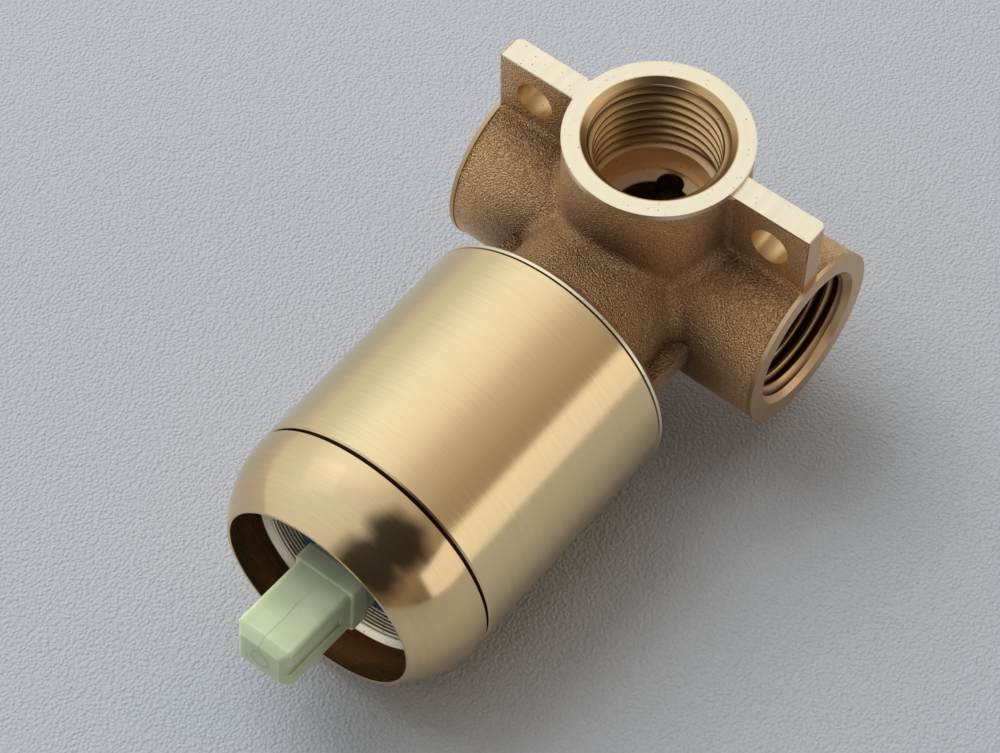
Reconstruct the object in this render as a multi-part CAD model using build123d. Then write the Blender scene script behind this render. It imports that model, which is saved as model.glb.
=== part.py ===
"""Concealed single-lever shower valve for building into a wall.

Millimetres, +Z up through the outlet, X through the two inlets, -Y towards the user.
The origin is midway between the two fixing holes, on the back face of the fixing ears.
Lengths along the cartridge are measured forward (towards -Y) from the outlet's axis.
"""
import os
from math import atan2, cos, radians, sin

from build123d import *

# Fixing ears
fixing_spacing = 42.2
fixing_hole_radius = 3.15
ear_thickness = 4.2
ear_above_holes = 6.1
ear_short_of_face = 0.5
ear_corner = 0.8
ear_fillet = 1.2

# Where the three axes lie
ears_back_to_outlet_axis = 2.65
holes_to_inlet_axis = 19.65
inlet_axis_behind_outlet = 1.1

# Cast bosses and their turned ends
inlet_face_span = 55.9
inlet_boss_radius = 14.3
outlet_face_above_inlets = 26.4
outlet_boss_slimmer = 0.3
inlet_turned_band = 0.65
outlet_turned_band = 1.0
cast_below_turned = 0.12
casting_fillet = 2.2
web_reach = 16.4
web_reach_at_flange = 15.6
web_top = 3.0
web_thickness = 3.2

# Pipe threads, half inch parallel: the bore is cut at the thread's root
thread_root_radius = 10.48
mouth_radius = 11.25
mouth_chamfer = 0.9
thread_length = 13.2
run_out_radius = 9.1
outlet_run_out = 4.2
inlet_run_out = 2.2
outlet_ledge_depth = 0.9
outlet_ledge_radius = 8.2
outlet_well_radius = 6.3
outlet_well_floor = 2.6
core_lobe_radius = 2.1
core_lobe_aside = 1.4
core_lobe_inset = 0.2
core_lobe_floor = 1.0

# Neck and cartridge barrel
flange_back = 24.1
flange_edge = 1.6
flange_chamfer = 1.15
spigot_length = 5.2
spigot_clearance = 0.15
spigot_chamfer = 0.6
barrel_step = 0.45
collar_rise = 1.75
collar_length = 7.6
collar_behind_dome = 1.0
collar_back_chamfer = 0.8
collar_front_chamfer = 0.5
barrel_front = 71.2
nose_wall = 1.25
nose_chamfer = 0.2
nut_thread_depth = 0.85
nut_thread_chamfer = 0.8
nut_thread_relief = 1.5

# Sleeve and dome
sleeve_wall = 1.2
sleeve_front = 64.85
sleeve_edge = 0.25
joint_gap = 0.1
seam_width = 0.5
dome_front = 77.05
dome_mouth_inset = 5.0
dome_mouth_land = 0.5
dome_wall = 1.1
dome_inner_start = 1.6
dome_spigot_length = 6.6
dome_spigot_wall = 1.55
dome_thread_clearance = 0.1

# Cartridge
seat = 38.0
chamber_clearance = 0.1
housing_radius = 13.55
housing_wall = 1.35
housing_step = 1.25
housing_lip = 3.48
housing_shoulder = 62.0
housing_front = 68.4
housing_front_chamfer = 0.4
face_gap = 0.05
seat_gap = 0.3
base_flange = 2.1
base_height = 4.6
base_fit = 0.15
port_circle_x = 5.0
port_circle_z = -2.1
inlet_port_radius = 2.2
outlet_port_z = 4.9
outlet_port_radius = 2.4
seal_bore = 0.3
seal_width = 1.5
seal_height = 1.5
seal_clearance = 0.1
peg_radius = 1.45
peg_clearance = 0.1
peg_length = 2.2
peg_inset = 2.2
peg_angle = 26.0
clip_width = 3.2
clip_height = 1.2
clip_clearance = 0.2
clip_rise = 1.0
clip_root = 1.0
gasket_width = 1.1
gasket_height = 1.0
gasket_web = 0.9
gasket_clearance = 0.1
disc_room = 1.0
fixed_disc_height = 3.0
disc_gap = 0.02
disc_key_width = 3.2
disc_key_depth = 1.4
disc_key_clearance = 0.1
disc_key_short = 0.6
disc_travel_room = 1.8
moving_disc_height = 3.0
mixing_pocket_depth = 1.6
mixing_pocket_grow = 2.2
mixing_pocket_rise = 2.0
mixing_pocket_low = 1.6
mixing_pocket_high = 1.4
driver_overhang = 0.4
driver_height = 3.4
driver_flat_depth = 1.2
driver_rail_clearance = 0.1
driver_rail_gap = 0.3
driver_grip = 1.6
driver_grip_height = 2.0
driver_grip_root = 0.5
driver_socket_floor = 0.4
tail_ball_radius = 2.2
tail_clearance = 0.08
carrier_gap = 0.1
carrier_flange_clearance = 0.2
carrier_flange_height = 3.0
glide_ring_height = 0.5
glide_ring_bore_clearance = 0.15
glide_ring_edge = 0.2
carrier_fit = 0.07
carrier_front = 68.0
carrier_ring_at = 63.4
ring_section = 0.6
ring_clearance = 0.04
nut_height = 4.4
nut_fit = 0.06
nut_bore_clearance = 0.15
nut_slots = 4
nut_slot_width = 3.4
nut_slot_depth = 1.5
nut_slot_turn = 45
nut_outer_chamfer = 0.4
nut_inner_chamfer = 0.3

# Lever stem and its pin
pivot = 58.6
pin_radius = 1.2
pin_clearance = 0.05
pin_end_gap = 0.25
blade_width = 7.0
blade_clearance = 0.15
blade_height = 6.4
tail_arm = 6.6
tail_width = 3.2
slot_wall = 0.7
stem_below_pivot = 2.0
stem_rest_tilt = 4.3
stem_width = 9.5
stem_height = 8.4
stem_tip = 89.2
stem_shoulder = 70.1
stem_root = 0.5
stem_tip_bevel = 1.3
stem_edge = 0.7
stem_collar_back = 72.2
stem_collar_front = 75.6
stem_collar_proud = 0.5
stem_collar_edge = 0.4
stem_groove_width = 2.2
stem_groove_depth = 0.45
stem_groove_back = 77.5

# How far a cutter runs past the face it cuts
overcut = 1.0

# Places worked out from the sizes above
axis_z = -holes_to_inlet_axis
outlet_y = -ears_back_to_outlet_axis
inlet_y = outlet_y + inlet_axis_behind_outlet
outlet_face_z = axis_z + outlet_face_above_inlets
inlet_face_x = inlet_face_span / 2
outlet_boss_radius = inlet_boss_radius - outlet_boss_slimmer
neck_radius = outlet_boss_radius
cavity_radius = housing_radius - housing_wall
housing_neck_radius = housing_radius - housing_step
carrier_neck_radius = housing_neck_radius - housing_lip - carrier_fit
carrier_flange_radius = cavity_radius - carrier_flange_clearance
fixed_disc_radius = cavity_radius - disc_room
moving_disc_radius = fixed_disc_radius - disc_travel_room
driver_radius = moving_disc_radius + driver_overhang
driver_flat = driver_radius - driver_flat_depth
peg_circle = housing_radius - peg_inset
peg_x = peg_circle * cos(radians(peg_angle))
peg_z = peg_circle * sin(radians(peg_angle))
chamber_radius = housing_radius + chamber_clearance
nut_thread_radius = chamber_radius + nut_thread_depth
barrel_nose_radius = nut_thread_radius + nose_wall
barrel_radius = barrel_nose_radius + barrel_step
collar_radius = barrel_radius + collar_rise
dome_spigot_bore = collar_radius + dome_thread_clearance
sleeve_bore = dome_spigot_bore + dome_spigot_wall + spigot_clearance
sleeve_radius = sleeve_bore + sleeve_wall
dome_mouth_radius = sleeve_radius - dome_mouth_inset
seal_groove_radius = sleeve_bore - 2 * (ring_section + ring_clearance)
base_back = seat + seat_gap
skirt_back = base_back + base_flange
base_front = base_back + base_height
fixed_back = base_front + seat_gap
fixed_front = fixed_back + fixed_disc_height
moving_back = fixed_front + disc_gap
moving_front = moving_back + moving_disc_height
driver_back = moving_front + disc_gap
driver_front = driver_back + driver_height
flange_plate_back = driver_front + carrier_gap
flange_plate_front = flange_plate_back + carrier_flange_height
cavity_front = flange_plate_front + glide_ring_height
disc_rest_z = -tail_arm * sin(radians(stem_rest_tilt))
ports = [
    (-port_circle_x, port_circle_z, inlet_port_radius),
    (port_circle_x, port_circle_z, inlet_port_radius),
    (0.0, outlet_port_z, outlet_port_radius),
]
port_names = ["hot", "cold", "outlet"]


def ahead(distance):
    """The Y of a point that lies this far in front of the outlet's axis."""
    return outlet_y - distance


def rod_y(radius, back, front, x=0.0, z=0.0):
    """A round bar along the cartridge's axis, between two distances ahead."""
    plane = Plane(origin=(x, ahead(back), axis_z + z), x_dir=(1, 0, 0), z_dir=(0, -1, 0))
    return plane * Cylinder(radius, front - back, align=(Align.CENTER, Align.CENTER, Align.MIN))


def rod_x(radius, low, high, y, z):
    """A round bar along X."""
    plane = Plane(origin=(low, y, z), x_dir=(0, 1, 0), z_dir=(1, 0, 0))
    return plane * Cylinder(radius, high - low, align=(Align.CENTER, Align.CENTER, Align.MIN))


def rod_z(radius, low, high, x, y):
    """A round bar along Z."""
    return Pos(x, y, low) * Cylinder(radius, high - low, align=(Align.CENTER, Align.CENTER, Align.MIN))


def block(x0, x1, back, front, z0, z1):
    """A box between two distances ahead, with Z counted from the cartridge's axis."""
    size = (x1 - x0, front - back, z1 - z0)
    middle = ((x0 + x1) / 2, ahead((back + front) / 2), axis_z + (z0 + z1) / 2)
    return Pos(*middle) * Box(*size)


def turned(points):
    """A solid turned about the cartridge's axis from (radius, distance ahead) corners."""
    outline = Polyline(*[(r, d) for r, d in points], close=True)
    return turned_face(make_face(outline))


def turned_face(face):
    """Turns a face drawn as radius against distance ahead."""
    plane = Plane(origin=(0, outlet_y, axis_z), x_dir=(1, 0, 0), z_dir=(0, 0, 1))
    flipped = plane * mirror(face, about=Plane.XZ)
    return revolve(flipped, Axis((0, outlet_y, axis_z), (0, 1, 0)))


def seal_ring(middle_radius, section_radius, distance):
    """A round-section ring on the cartridge's axis."""
    plane = Plane(origin=(0, ahead(distance), axis_z), x_dir=(1, 0, 0), z_dir=(0, -1, 0))
    return plane * Torus(middle_radius, section_radius)


def threaded_socket(run_out):
    """The cutter for a pipe socket, mouth at Z = 0 and opening upwards."""
    throat = thread_length + run_out
    points = [
        (0, overcut),
        (mouth_radius, overcut),
        (mouth_radius, 0),
        (thread_root_radius, -mouth_chamfer),
        (thread_root_radius, -thread_length),
        (run_out_radius, -thread_length - (thread_root_radius - run_out_radius) / 2),
        (run_out_radius, -throat),
        (0, -throat),
    ]
    outline = make_face(Polyline(*points, close=True))
    return revolve(Plane.XZ * outline, Axis.Z)


def valve_casting():
    """Inlet arms, outlet boss, neck and fixing ears, with the fillets of the mould."""
    arm_radius = inlet_boss_radius - cast_below_turned
    boss_radius = outlet_boss_radius - cast_below_turned
    arms = rod_x(arm_radius, -inlet_face_x + inlet_turned_band, inlet_face_x - inlet_turned_band,
                 inlet_y, axis_z)
    boss = rod_z(boss_radius, axis_z, outlet_face_z - outlet_turned_band, 0, outlet_y)
    neck = rod_y(neck_radius, 0, flange_back + flange_edge / 2)
    ear_end = inlet_face_x - ear_short_of_face
    ears = Pos(0, -ear_thickness / 2, (ear_above_holes + axis_z) / 2) * Box(
        2 * ear_end, ear_thickness, ear_above_holes - axis_z)
    back_corners = ears.edges().filter_by(Axis.Z).sort_by(Axis.Y)[-2:]
    ears = chamfer(back_corners, ear_corner)
    casting = arms + boss + neck
    casting = soften(casting, casting_fillet) + ears
    beside_boss = [e for e in casting.edges().filter_by(Axis.Z) if abs(e.center().X) < outlet_boss_radius]
    return fillet(beside_boss, ear_fillet) + neck_webs()


def neck_webs():
    """The flat webs in the corners between the neck, the inlet arms and the flange."""
    outline = Polyline(
        (-web_reach, inlet_y - inlet_boss_radius / 2),
        (-web_reach, inlet_y - inlet_boss_radius - casting_fillet),
        (-web_reach_at_flange, ahead(flange_back)),
        (web_reach_at_flange, ahead(flange_back)),
        (web_reach, inlet_y - inlet_boss_radius - casting_fillet),
        (web_reach, inlet_y - inlet_boss_radius / 2),
        close=True,
    )
    return Pos(0, 0, axis_z + web_top - web_thickness) * extrude(make_face(outline), web_thickness)


def soften(solid, radius):
    """Rounds the concave edges where round bosses run into each other."""
    seams = [e for e in solid.edges() if e.geom_type not in (GeomType.LINE, GeomType.CIRCLE)]
    return fillet(seams, radius)


def barrel():
    """The turned barrel: flange, sleeve spigot, plain length, dome thread and nose."""
    spigot_radius = sleeve_bore - spigot_clearance
    spigot_front = flange_back + flange_edge + spigot_length
    groove_back = flange_back + flange_edge + spigot_length / 2 - ring_section - ring_clearance
    groove_front = groove_back + 2 * (ring_section + ring_clearance)
    collar_back = dome_thread_start() - collar_behind_dome
    collar_front = collar_back + collar_length
    return turned([
        (0, flange_back),
        (sleeve_radius - flange_chamfer, flange_back),
        (sleeve_radius, flange_back + flange_chamfer),
        (sleeve_radius, flange_back + flange_edge),
        (spigot_radius, flange_back + flange_edge),
        (spigot_radius, groove_back),
        (seal_groove_radius, groove_back),
        (seal_groove_radius, groove_front),
        (spigot_radius, groove_front),
        (spigot_radius, spigot_front - spigot_chamfer),
        (spigot_radius - spigot_chamfer, spigot_front),
        (barrel_radius, spigot_front),
        (barrel_radius, collar_back),
        (collar_radius, collar_back + collar_back_chamfer),
        (collar_radius, collar_front - collar_front_chamfer),
        (collar_radius - collar_front_chamfer, collar_front),
        (barrel_nose_radius, collar_front),
        (barrel_nose_radius, barrel_front - nose_chamfer),
        (barrel_nose_radius - nose_chamfer, barrel_front),
        (0, barrel_front),
    ])


def dome_thread_start():
    """Where the dome's threaded spigot ends inside the sleeve."""
    return sleeve_front + seam_width - dome_spigot_length


def valve_body():
    """The brass casting with all its bores cut."""
    body = valve_casting() + barrel()
    for side in (-1, 1):
        face = side * inlet_face_x
        inner = face - side * inlet_turned_band
        body += rod_x(inlet_boss_radius, min(face, inner), max(face, inner), inlet_y, axis_z)
    body += rod_z(outlet_boss_radius, outlet_face_z - outlet_turned_band, outlet_face_z, 0, outlet_y)

    for side in (-1, 1):
        body -= Pos(side * fixing_spacing / 2, 0, 0) * Rot(90, 0, 0) * Cylinder(
            fixing_hole_radius, 4 * ear_thickness)

    # Sockets
    body -= Pos(0, outlet_y, outlet_face_z) * threaded_socket(outlet_run_out)
    for side in (-1, 1):
        body -= Pos(side * inlet_face_x, inlet_y, axis_z) * Rot(0, side * 90, 0) * threaded_socket(
            inlet_run_out)

    # Outlet ledge, well and the lobe left by its core
    throat_z = outlet_face_z - thread_length - outlet_run_out
    ledge_z = throat_z - outlet_ledge_depth
    body -= rod_z(outlet_ledge_radius, ledge_z, throat_z, 0, outlet_y)
    body -= rod_z(outlet_well_radius, axis_z + outlet_well_floor, ledge_z, 0, outlet_y)
    lobe_floor = axis_z + outlet_well_floor + core_lobe_floor
    lobe_y = outlet_y + outlet_well_radius - core_lobe_inset
    body -= rod_z(core_lobe_radius, lobe_floor, ledge_z, -core_lobe_aside, lobe_y)

    # Waterways from the sockets to the cartridge's seat
    for x, z, radius in ports:
        body -= rod_y(radius + seal_bore, -abs(x) / 4, seat, x, z)
    socket_floor = inlet_face_x - thread_length - inlet_run_out
    for side in (-1, 1):
        low, high = sorted((side * (port_circle_x - inlet_port_radius), side * socket_floor))
        body -= rod_x(inlet_port_radius + seal_bore, low, high, inlet_y, axis_z + port_circle_z)

    # Cartridge chamber with the nut's thread and its mouth
    body -= rod_y(chamber_radius, seat, barrel_front)
    body -= turned([
        (0, housing_shoulder - nut_thread_relief),
        (nut_thread_radius, housing_shoulder - nut_thread_relief),
        (nut_thread_radius, barrel_front - nut_thread_chamfer),
        (nut_thread_radius + nut_thread_chamfer, barrel_front),
        (nut_thread_radius + nut_thread_chamfer, barrel_front + overcut),
        (0, barrel_front + overcut),
    ])
    for side in (-1, 1):
        body -= rod_y(peg_radius + peg_clearance, seat - peg_length, seat, side * peg_x, peg_z)
    return body


def sleeve():
    """The cover tube that slides over the barrel."""
    back = flange_back + flange_edge + joint_gap
    return turned([
        (sleeve_bore, back),
        (sleeve_radius - sleeve_edge, back),
        (sleeve_radius, back + sleeve_edge),
        (sleeve_radius, sleeve_front - sleeve_edge),
        (sleeve_radius - sleeve_edge, sleeve_front),
        (sleeve_bore, sleeve_front),
    ])


def bulge(start, end):
    """The middle point of an arc from start to end that leaves start straight along the axis."""
    length = end[1] - start[1]
    drop = start[0] - end[0]
    crown = (length ** 2 + drop ** 2) / (2 * drop)
    half_turn = atan2(length, crown - drop) / 2
    return (start[0] - crown + crown * cos(half_turn), start[1] + crown * sin(half_turn))


def dome_cap():
    """The domed front cap, spun thin to its mouth, with a threaded spigot behind."""
    back = sleeve_front + seam_width
    spigot_outer = sleeve_bore - spigot_clearance
    spigot_back = dome_thread_start()
    groove_middle = back - dome_spigot_length / 2
    groove_half = ring_section + ring_clearance
    inner_start = (sleeve_radius - dome_wall, back + dome_inner_start)
    inner_end = (dome_mouth_radius, dome_front)
    outer_start = (sleeve_radius, back + sleeve_edge)
    outer_end = (dome_mouth_radius + dome_mouth_land, dome_front)
    wall = Polyline(
        outer_start,
        (sleeve_radius - sleeve_edge, back),
        (spigot_outer, back),
        (spigot_outer, groove_middle + groove_half),
        (seal_groove_radius, groove_middle + groove_half),
        (seal_groove_radius, groove_middle - groove_half),
        (spigot_outer, groove_middle - groove_half),
        (spigot_outer, spigot_back),
        (dome_spigot_bore, spigot_back),
        (dome_spigot_bore, back),
        inner_start,
    )
    inside = ThreePointArc(inner_start, bulge(inner_start, inner_end), inner_end)
    land = Line(inner_end, outer_end)
    outside = ThreePointArc(outer_end, bulge(outer_start, outer_end), outer_start)
    return turned_face(make_face(wall + inside + land + outside))


def cartridge_housing():
    """The blue shell of the cartridge: skirt, shoulder and the neck that shows in the dome."""
    shell = turned([
        (cavity_radius, skirt_back),
        (housing_radius, skirt_back),
        (housing_radius, housing_shoulder - face_gap),
        (housing_neck_radius, housing_shoulder - face_gap),
        (housing_neck_radius, housing_front - housing_front_chamfer),
        (housing_neck_radius - housing_front_chamfer, housing_front),
        (carrier_neck_radius + carrier_fit, housing_front),
        (carrier_neck_radius + carrier_fit, cavity_front),
        (cavity_radius, cavity_front),
    ])
    window = clip_width + 2 * clip_clearance
    low = skirt_back + clip_rise - clip_clearance
    high = low + clip_height + 2 * clip_clearance
    for side in (-1, 1):
        z0, z1 = sorted((side * (cavity_radius - overcut), side * (housing_radius + overcut)))
        shell -= block(-window / 2, window / 2, low, high, z0, z1)
    return shell


def cartridge_base():
    """The base with its three ports, seal grooves, locating pegs, clips and disc keys."""
    top_radius = cavity_radius - base_fit
    base = rod_y(housing_radius - base_fit, base_back, skirt_back - face_gap)
    base += rod_y(top_radius, skirt_back - face_gap, base_front)
    for side in (-1, 1):
        base += rod_y(peg_radius, seat - peg_length + peg_clearance, base_back, side * peg_x, peg_z)
        z0, z1 = sorted((side * (top_radius - clip_root), side * (housing_radius - base_fit)))
        base += block(-clip_width / 2, clip_width / 2, skirt_back + clip_rise,
                      skirt_back + clip_rise + clip_height, z0, z1)
        key = block(fixed_disc_radius - disc_key_depth, top_radius + overcut, base_front,
                    fixed_front - disc_key_short, -disc_key_width / 2, disc_key_width / 2)
        key = key & rod_y(top_radius, base_front, fixed_front)
        base += key if side > 0 else mirror(key, about=Plane.YZ)
    for x, z, radius in ports:
        base -= rod_y(radius, base_back - overcut, base_front + overcut, x, z)
        base -= rod_y(radius + seal_bore + seal_width + seal_clearance, base_back - overcut,
                      seat + seal_height + face_gap, x, z)
    gasket_back = base_front + seat_gap - gasket_height
    base -= gasket_shape(gasket_width + gasket_clearance, gasket_back - face_gap,
                         base_front + overcut)
    return base


def port_seal(x, z, radius):
    """The rubber ring between the base and the body's seat, round one port."""
    ring = rod_y(radius + seal_bore + seal_width, seat, seat + seal_height, x, z)
    return ring - rod_y(radius + seal_bore, seat - overcut, seat + seal_height + overcut, x, z)


def gasket_shape(width, back, front):
    """Three rings round the ports, joined by thin webs, as one flat form."""
    shape = None
    for x, z, radius in ports:
        ring = rod_y(radius + gasket_clearance + width, back, front, x, z)
        shape = ring if shape is None else shape + ring
    grow = width - gasket_width
    bar = gasket_web + 2 * grow
    shape += block(-port_circle_x, port_circle_x, back, front,
                   port_circle_z - bar / 2, port_circle_z + bar / 2)
    shape += block(-bar / 2, bar / 2, back, front, port_circle_z, outlet_port_z)
    return shape


def disc_gasket():
    """The moulded gasket between the base and the fixed disc."""
    back = base_front + seat_gap - gasket_height
    shape = gasket_shape(gasket_width, back, fixed_back)
    for x, z, radius in ports:
        shape -= rod_y(radius + gasket_clearance, back - overcut, fixed_back + overcut, x, z)
    return shape


def fixed_disc():
    """The still ceramic disc, keyed to the base, with its three ports."""
    disc = rod_y(fixed_disc_radius, fixed_back, fixed_front)
    for x, z, radius in ports:
        disc -= rod_y(radius, fixed_back - overcut, fixed_front + overcut, x, z)
    notch = disc_key_width / 2 + disc_key_clearance
    for side in (-1, 1):
        x0, x1 = sorted((side * (fixed_disc_radius - disc_key_depth - disc_key_clearance),
                         side * (fixed_disc_radius + overcut)))
        disc -= block(x0, x1, fixed_back - overcut, fixed_front + overcut, -notch, notch)
    return disc


def moving_disc():
    """The sliding ceramic disc, with the mixing pocket in its back face."""
    z = disc_rest_z
    disc = rod_y(moving_disc_radius, moving_back, moving_front, 0, z)
    pocket_front = moving_back + mixing_pocket_depth
    disc -= rod_y(inlet_port_radius + mixing_pocket_grow, moving_back - overcut, pocket_front,
                  0, z + mixing_pocket_rise)
    disc -= block(-port_circle_x, port_circle_x, moving_back - overcut, pocket_front,
                  z - mixing_pocket_low, z + mixing_pocket_high)
    for side in (-1, 1):
        z0, z1 = sorted((z + side * (moving_disc_radius - driver_grip),
                         z + side * (moving_disc_radius + overcut)))
        disc -= block(-disc_key_width / 2, disc_key_width / 2, moving_front - driver_grip_height,
                      moving_front + overcut, z0, z1)
    return disc


def disc_driver():
    """The plastic driver that grips the moving disc and takes the stem's tail."""
    z = disc_rest_z
    driver = rod_y(driver_radius, driver_back, driver_front, 0, z)
    for side in (-1, 1):
        x0, x1 = sorted((side * driver_flat, side * (driver_radius + overcut)))
        driver -= block(x0, x1, driver_back - overcut, driver_front + overcut,
                        z - driver_radius, z + driver_radius)
        z0, z1 = sorted((z + side * (moving_disc_radius - driver_grip + disc_key_clearance),
                         z + side * driver_radius))
        grip = block(-disc_key_width / 2 + disc_key_clearance, disc_key_width / 2 - disc_key_clearance,
                     moving_front - driver_grip_height + disc_key_clearance,
                     driver_back + driver_grip_root, z0, z1)
        driver += grip & rod_y(driver_radius, moving_back, driver_front, 0, z)
    socket = tail_ball_radius + tail_clearance
    driver -= block(-socket, socket, driver_back + driver_socket_floor, driver_front + overcut,
                    z - socket, z + socket)
    return driver


def stem_carrier():
    """The rotating carrier: rails for the driver, flange, neck with pin hole and stem slot."""
    carrier = rod_y(carrier_flange_radius, flange_plate_back, flange_plate_front)
    carrier += rod_y(carrier_neck_radius, flange_plate_front, carrier_front)
    rail = rod_y(carrier_flange_radius, driver_back + driver_rail_gap, flange_plate_back)
    inner = driver_flat + driver_rail_clearance
    rail -= block(-inner, inner, driver_back - overcut, flange_plate_back + overcut,
                  -carrier_flange_radius, carrier_flange_radius)
    carrier += rail
    groove_half = ring_section + ring_clearance
    groove_back = carrier_ring_at - groove_half
    groove_front = carrier_ring_at + groove_half
    core = carrier_neck_radius - 2 * ring_section - ring_clearance
    groove = rod_y(carrier_neck_radius + overcut, groove_back, groove_front)
    carrier -= groove - rod_y(core, groove_back - overcut, groove_front + overcut)
    half = blade_width / 2 + blade_clearance
    swing = core - slot_wall
    carrier -= block(-half, half, flange_plate_back - overcut, carrier_front + overcut, -swing, swing)
    hole_end = carrier_neck_radius + overcut
    carrier -= rod_x(pin_radius + pin_clearance, -hole_end, hole_end, ahead(pivot), axis_z)
    return carrier


def glide_ring():
    """The low-friction washer between the carrier's flange and the housing."""
    return turned([
        (carrier_neck_radius + glide_ring_bore_clearance, flange_plate_front),
        (carrier_flange_radius - glide_ring_edge, flange_plate_front),
        (carrier_flange_radius - glide_ring_edge, cavity_front),
        (carrier_neck_radius + glide_ring_bore_clearance, cavity_front),
    ])


def pivot_pin():
    """The steel pin that the lever stem swings on."""
    half = carrier_neck_radius - pin_end_gap
    return rod_x(pin_radius, -half, half, ahead(pivot), axis_z)


def lever_stem():
    """The moulded stem: tail ball, pivoted blade, collar and the square that takes the handle."""
    bar_z = -stem_below_pivot
    low = bar_z - blade_height / 2
    high = bar_z + blade_height / 2
    stem = block(-blade_width / 2, blade_width / 2, pivot, stem_shoulder + stem_root, low, high)
    stem += rod_x(blade_height / 2, -blade_width / 2, blade_width / 2, ahead(pivot), axis_z)
    stem += block(-blade_width / 2, blade_width / 2, pivot, pivot + blade_height / 2, low, 0)
    stem += block(-tail_width / 2, tail_width / 2, pivot - tail_arm, pivot,
                  -tail_width / 2, tail_width / 2)
    stem += Pos(0, ahead(pivot - tail_arm), axis_z) * Sphere(tail_ball_radius)
    square = block(-stem_width / 2, stem_width / 2, stem_shoulder, stem_tip,
                   bar_z - stem_height / 2, bar_z + stem_height / 2)
    square = chamfer(square.faces().sort_by(Axis.Y)[0].edges(), stem_tip_bevel)
    across = square.edges().filter_by(Axis.X) + square.edges().filter_by(Axis.Z)
    square = fillet([e for e in square.edges() if e not in across], stem_edge)
    wide = stem_width / 2 + stem_collar_proud
    tall = stem_height / 2 + stem_collar_proud / 2
    collar = block(-wide, wide, stem_collar_back, stem_collar_front, bar_z - tall, bar_z + tall)
    collar = fillet(collar.edges(), stem_collar_edge)
    stem += square + collar
    for side in (-1, 1):
        x0, x1 = sorted((side * (stem_width / 2 - stem_groove_depth),
                         side * (stem_width / 2 + overcut)))
        stem -= block(x0, x1, stem_groove_back, stem_tip + overcut,
                      bar_z - stem_groove_width / 2, bar_z + stem_groove_width / 2)
    stem -= rod_x(pin_radius + pin_clearance, -blade_width, blade_width, ahead(pivot), axis_z)
    return stem.rotate(Axis((0, ahead(pivot), axis_z), (1, 0, 0)), -stem_rest_tilt)


def retaining_nut():
    """The slotted ring nut that clamps the cartridge down on its seat."""
    outer = nut_thread_radius - nut_fit
    inner = housing_neck_radius + nut_bore_clearance
    front = housing_shoulder + nut_height
    nut = turned([
        (inner, housing_shoulder),
        (outer, housing_shoulder),
        (outer, front - nut_outer_chamfer),
        (outer - nut_outer_chamfer, front),
        (inner + nut_inner_chamfer, front),
        (inner, front - nut_inner_chamfer),
    ])
    for turn in range(nut_slots):
        slot = block(-nut_slot_width / 2, nut_slot_width / 2, front - nut_slot_depth,
                     front + overcut, inner - overcut, outer + overcut)
        nut -= slot.rotate(Axis((0, 0, axis_z), (0, 1, 0)), nut_slot_turn + turn * 360 / nut_slots)
    return nut


def sleeve_ring():
    """The O-ring that centres the sleeve on the barrel's spigot."""
    at = flange_back + flange_edge + spigot_length / 2
    return seal_ring(sleeve_bore - ring_section - ring_clearance, ring_section, at)


def dome_ring():
    """The O-ring between the dome's spigot and the sleeve."""
    at = sleeve_front + seam_width - dome_spigot_length / 2
    return seal_ring(sleeve_bore - ring_section - ring_clearance, ring_section, at)


def carrier_ring():
    """The O-ring between the carrier's neck and the housing."""
    middle = carrier_neck_radius + carrier_fit - ring_section - ring_clearance
    return seal_ring(middle, ring_section, carrier_ring_at)


pieces = {
    "valve_body": valve_body(),
    "sleeve": sleeve(),
    "sleeve_o_ring": sleeve_ring(),
    "dome_cap": dome_cap(),
    "dome_o_ring": dome_ring(),
    "retaining_nut": retaining_nut(),
    "cartridge_housing": cartridge_housing(),
    "cartridge_base": cartridge_base(),
    "disc_gasket": disc_gasket(),
    "fixed_disc": fixed_disc(),
    "moving_disc": moving_disc(),
    "disc_driver": disc_driver(),
    "stem_carrier": stem_carrier(),
    "carrier_o_ring": carrier_ring(),
    "glide_ring": glide_ring(),
    "pivot_pin": pivot_pin(),
    "lever_stem": lever_stem(),
}
for name, port in zip(port_names, ports):
    pieces[name + "_port_seal"] = port_seal(*port)

os.makedirs("parts", exist_ok=True)
for name, solid in pieces.items():
    export_step(solid, f"parts/{name}.step")
    print(name, len(solid.solids()), round(solid.volume, 1))
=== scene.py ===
# %% [markdown]
# # A concealed shower valve, dressed for a photograph
# The real object is a sand-cast brass body with three threaded ports and two fixing ears.
# A brushed gold sleeve and a domed cap hide the mixing cartridge, and a pale green plastic
# stem comes out of the dome to take the handle. The solids come from the CAD frame, already in
# place and in metres. This lesson gives them their finishes, and adds the fine shapes that are
# cut last on the real part: the screw threads.

# %% Load the solids
from math import pi

import bmesh
import bpy
from mathutils import Matrix, Vector


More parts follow.
